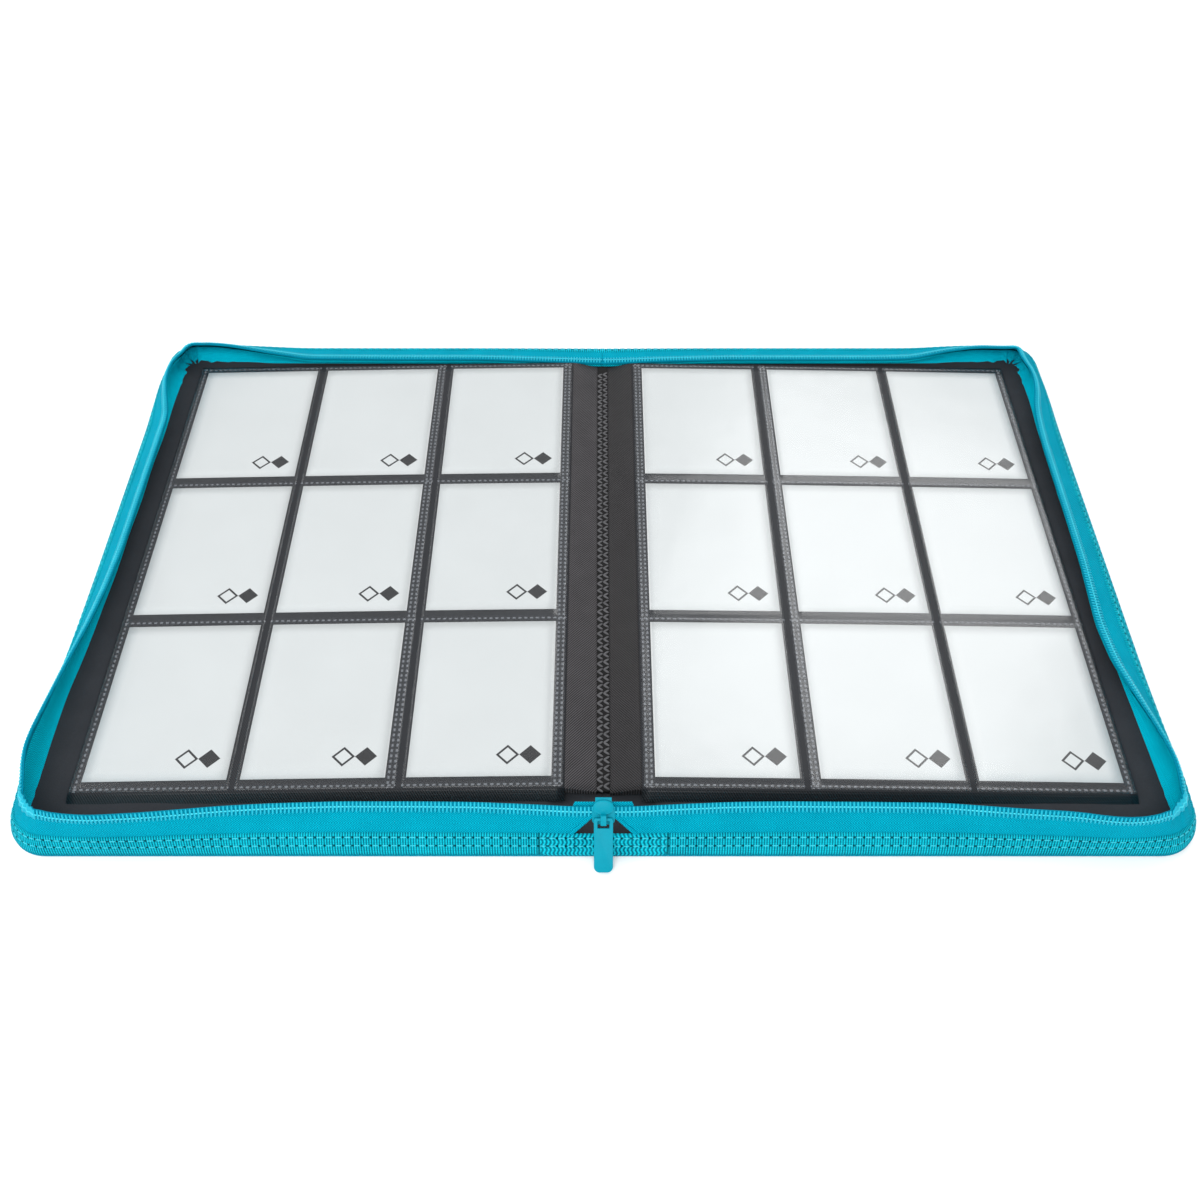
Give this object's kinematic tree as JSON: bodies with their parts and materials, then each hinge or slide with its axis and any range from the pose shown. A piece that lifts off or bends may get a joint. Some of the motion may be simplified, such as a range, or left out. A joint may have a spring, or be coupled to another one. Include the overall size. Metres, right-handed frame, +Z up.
{
  "type": "zip-round trading card binder",
  "caption": "Zippered binder for trading cards, open and flat: padded fabric covers on a spine, clear-pocket leaves sewn at the middle, zip tape round the edges with a slider and pull.",
  "frame": {"origin": "underside of the spine, at its middle", "axes": "+X across the open covers from the front cover to the back cover, +Y from the zip pull to the far end of the spine, +Z up from the surface that the open binder lies on"},
  "size_m": [0.509, 0.3481, 0.0235],
  "materials": {
    "outer_fabric": "woven, coated on the back",
    "board": "grey board",
    "foam": "soft closed-cell foam",
    "lining": "smooth black non-woven",
    "binding_tape": "ribbed woven tape",
    "binding_thread": "polyester thread",
    "zip_tape": "herringbone woven tape",
    "zip_coil": "nylon coil",
    "leaf_sheet": "black polypropylene with a fine embossed rib",
    "seam_thread": "black polyester thread",
    "pocket_film": "clear film",
    "card": "plain white card, satin",
    "slider_paint": "semi-gloss paint on cast zinc",
    "pull_paint": "semi-gloss paint on cast zinc"
  },
  "bodies": {
    "spine": {"spine_skin": "outer_fabric", "spine_board": "board", "spine_lining": "lining", "spine_front_binding": "binding_tape", "spine_back_binding": "binding_tape", "front_zip_end_left": "zip_tape", "front_zip_end_right": "zip_tape", "back_zip_end": "zip_tape", "zip_end_tab": "zip_tape", "folio_gutter": "leaf_sheet", "seam_stitching": "seam_thread"},
    "front_cover": {"front_cover_skin": "outer_fabric", "front_cover_board": "board", "front_cover_foam": "foam", "front_cover_lining": "lining", "front_cover_binding": "binding_tape", "front_cover_stitching": "binding_thread", "front_cover_zip_tape": "zip_tape", "front_cover_zip_coil": "zip_coil"},
    "back_cover": {"back_cover_skin": "outer_fabric", "back_cover_board": "board", "back_cover_foam": "foam", "back_cover_lining": "lining", "back_cover_binding": "binding_tape", "back_cover_stitching": "binding_thread", "back_cover_zip_tape": "zip_tape", "back_cover_zip_coil": "zip_coil"},
    "left_leaf_01": {"left_leaf_01": "leaf_sheet"},
    "left_leaf_02": {"left_leaf_02": "leaf_sheet"},
    "left_leaf_03": {"left_leaf_03": "leaf_sheet"},
    "left_leaf_04": {"left_leaf_04": "leaf_sheet"},
    "left_leaf_05": {"left_leaf_05": "leaf_sheet"},
    "left_leaf_06": {"left_leaf_06": "leaf_sheet"},
    "left_leaf_07": {"left_leaf_07": "leaf_sheet"},
    "left_leaf_08": {"left_leaf_08": "leaf_sheet"},
    "left_leaf_09": {"left_leaf_09": "leaf_sheet"},
    "left_leaf_10": {"left_leaf_10": "leaf_sheet", "left_pockets": "pocket_film", "left_cards": "card"},
    "right_leaf_01": {"right_leaf_01": "leaf_sheet"},
    "right_leaf_02": {"right_leaf_02": "leaf_sheet"},
    "right_leaf_03": {"right_leaf_03": "leaf_sheet"},
    "right_leaf_04": {"right_leaf_04": "leaf_sheet"},
    "right_leaf_05": {"right_leaf_05": "leaf_sheet"},
    "right_leaf_06": {"right_leaf_06": "leaf_sheet"},
    "right_leaf_07": {"right_leaf_07": "leaf_sheet"},
    "right_leaf_08": {"right_leaf_08": "leaf_sheet"},
    "right_leaf_09": {"right_leaf_09": "leaf_sheet"},
    "right_leaf_10": {"right_leaf_10": "leaf_sheet", "right_pockets": "pocket_film", "right_cards": "card"},
    "slider": {"slider_body": "slider_paint", "slider_bridge": "slider_paint"},
    "pull": {"pull_tab": "pull_paint"}
  },
  "joints": [
    {"name": "front_cover_hinge", "type": "hinge", "parent": "spine", "child": "front_cover", "pos_m": [-0.0245, 0, 0.0005], "axis": [0, 1, 0], "range_deg": [0, 90]},
    {"name": "back_cover_hinge", "type": "hinge", "parent": "spine", "child": "back_cover", "pos_m": [0.0245, 0, 0.0005], "axis": [0, -1, 0], "range_deg": [0, 90]},
    {"name": "left_leaves_swing", "type": "hinge", "parent": "spine", "child": "left_leaf_01", "pos_m": [-0.00995, 0, -0.00065], "axis": [0, 1, 0], "range_deg": [0, 90]},
    {"name": "left_leaf_02_turn", "type": "hinge", "parent": "left_leaf_01", "child": "left_leaf_02", "pos_m": [0, 0, 0.0092], "axis": [0, -1, 0], "range_deg": [-180, 0]},
    {"name": "left_leaf_03_turn", "type": "hinge", "parent": "left_leaf_02", "child": "left_leaf_03", "pos_m": [0, 0, 0.0092], "axis": [0, -1, 0], "range_deg": [-180, 0]},
    {"name": "left_leaf_04_turn", "type": "hinge", "parent": "left_leaf_03", "child": "left_leaf_04", "pos_m": [0, 0, 0.0092], "axis": [0, -1, 0], "range_deg": [-180, 0]},
    {"name": "left_leaf_05_turn", "type": "hinge", "parent": "left_leaf_04", "child": "left_leaf_05", "pos_m": [0, 0, 0.0092], "axis": [0, -1, 0], "range_deg": [-180, 0]},
    {"name": "left_leaf_06_turn", "type": "hinge", "parent": "left_leaf_05", "child": "left_leaf_06", "pos_m": [0, 0, 0.0092], "axis": [0, -1, 0], "range_deg": [-180, 0]},
    {"name": "left_leaf_07_turn", "type": "hinge", "parent": "left_leaf_06", "child": "left_leaf_07", "pos_m": [0, 0, 0.0092], "axis": [0, -1, 0], "range_deg": [-180, 0]},
    {"name": "left_leaf_08_turn", "type": "hinge", "parent": "left_leaf_07", "child": "left_leaf_08", "pos_m": [0, 0, 0.0092], "axis": [0, -1, 0], "range_deg": [-180, 0]},
    {"name": "left_leaf_09_turn", "type": "hinge", "parent": "left_leaf_08", "child": "left_leaf_09", "pos_m": [0, 0, 0.0092], "axis": [0, -1, 0], "range_deg": [-180, 0]},
    {"name": "left_leaf_10_turn", "type": "hinge", "parent": "left_leaf_09", "child": "left_leaf_10", "pos_m": [0, 0, 0.0092], "axis": [0, -1, 0], "range_deg": [-180, 0]},
    {"name": "right_leaves_swing", "type": "hinge", "parent": "spine", "child": "right_leaf_01", "pos_m": [0.00995, 0, -0.00065], "axis": [0, -1, 0], "range_deg": [0, 90]},
    {"name": "right_leaf_02_turn", "type": "hinge", "parent": "right_leaf_01", "child": "right_leaf_02", "pos_m": [0, 0, 0.0092], "axis": [0, 1, 0], "range_deg": [-180, 0]},
    {"name": "right_leaf_03_turn", "type": "hinge", "parent": "right_leaf_02", "child": "right_leaf_03", "pos_m": [0, 0, 0.0092], "axis": [0, 1, 0], "range_deg": [-180, 0]},
    {"name": "right_leaf_04_turn", "type": "hinge", "parent": "right_leaf_03", "child": "right_leaf_04", "pos_m": [0, 0, 0.0092], "axis": [0, 1, 0], "range_deg": [-180, 0]},
    {"name": "right_leaf_05_turn", "type": "hinge", "parent": "right_leaf_04", "child": "right_leaf_05", "pos_m": [0, 0, 0.0092], "axis": [0, 1, 0], "range_deg": [-180, 0]},
    {"name": "right_leaf_06_turn", "type": "hinge", "parent": "right_leaf_05", "child": "right_leaf_06", "pos_m": [0, 0, 0.0092], "axis": [0, 1, 0], "range_deg": [-180, 0]},
    {"name": "right_leaf_07_turn", "type": "hinge", "parent": "right_leaf_06", "child": "right_leaf_07", "pos_m": [0, 0, 0.0092], "axis": [0, 1, 0], "range_deg": [-180, 0]},
    {"name": "right_leaf_08_turn", "type": "hinge", "parent": "right_leaf_07", "child": "right_leaf_08", "pos_m": [0, 0, 0.0092], "axis": [0, 1, 0], "range_deg": [-180, 0]},
    {"name": "right_leaf_09_turn", "type": "hinge", "parent": "right_leaf_08", "child": "right_leaf_09", "pos_m": [0, 0, 0.0092], "axis": [0, 1, 0], "range_deg": [-180, 0]},
    {"name": "right_leaf_10_turn", "type": "hinge", "parent": "right_leaf_09", "child": "right_leaf_10", "pos_m": [0, 0, 0.0092], "axis": [0, 1, 0], "range_deg": [-180, 0]},
    {"name": "slider_travel", "type": "slide", "parent": "spine", "child": "slider", "axis": [0, 0.6357, 0.7719], "range_m": [0, 0.004]},
    {"name": "pull_swing", "type": "hinge", "parent": "slider", "child": "pull", "pos_m": [0, -0.16223, 0.01757], "axis": [-1, 0, 0], "range_deg": [0, 150]}
  ],
  "couplings": [
    {"joint": "left_leaves_swing", "follows": "front_cover_hinge", "ratio": 1},
    {"joint": "right_leaves_swing", "follows": "back_cover_hinge", "ratio": 1}
  ]
}
